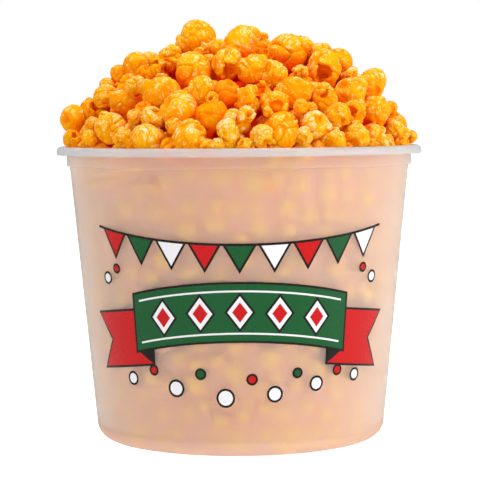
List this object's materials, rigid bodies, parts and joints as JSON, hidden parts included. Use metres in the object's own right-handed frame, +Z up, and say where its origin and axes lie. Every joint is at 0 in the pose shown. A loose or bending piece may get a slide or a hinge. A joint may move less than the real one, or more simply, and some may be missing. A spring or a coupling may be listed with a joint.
{
  "type": "bucket of popcorn",
  "caption": "Round translucent plastic bucket with a turned-down lip and a stacking collar, filled and heaped with orange cheese-coated popcorn.",
  "frame": {"origin": "centre of the foot, on the surface that the bucket stands on", "axes": "+Z up, -Y towards the printed front, +X to the right as seen from the front"},
  "size_m": [0.226, 0.226, 0.2605],
  "materials": {
    "plastic": "translucent, satin",
    "popcorn": "dry, powdery",
    "ink_green": "printed",
    "ink_red": "printed",
    "ink_black": "printed",
    "ink_white": "printed"
  },
  "bodies": {
    "root": {"tub": "plastic", "popcorn": "popcorn"}
  },
  "joints": []
}
